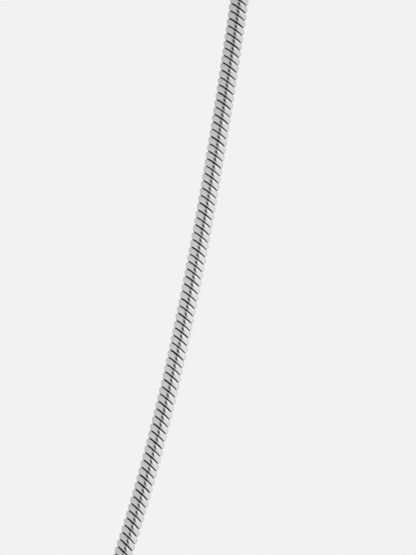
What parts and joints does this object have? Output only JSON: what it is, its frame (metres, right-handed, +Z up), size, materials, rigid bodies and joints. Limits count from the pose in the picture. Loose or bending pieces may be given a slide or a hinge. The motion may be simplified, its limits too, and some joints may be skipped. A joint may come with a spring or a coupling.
{
  "type": "snake chain necklace",
  "caption": "Round snake chain necklace in polished steel: a closed loop of close, slanted links with a plain barrel clasp, in the form that it takes round a neck.",
  "frame": {"origin": "the point at the nape where the clasp rests against the back of the neck", "axes": "+Z up; -Y to the wearer's front, where the chain hangs; +X to the right as seen from the front, along the clasp"},
  "size_m": [0.1128, 0.0923, 0.1685],
  "materials": {
    "chain_steel": "polished",
    "clasp_steel": "polished"
  },
  "bodies": {
    "root": {"chain": "chain_steel", "clasp": "clasp_steel"}
  },
  "joints": []
}
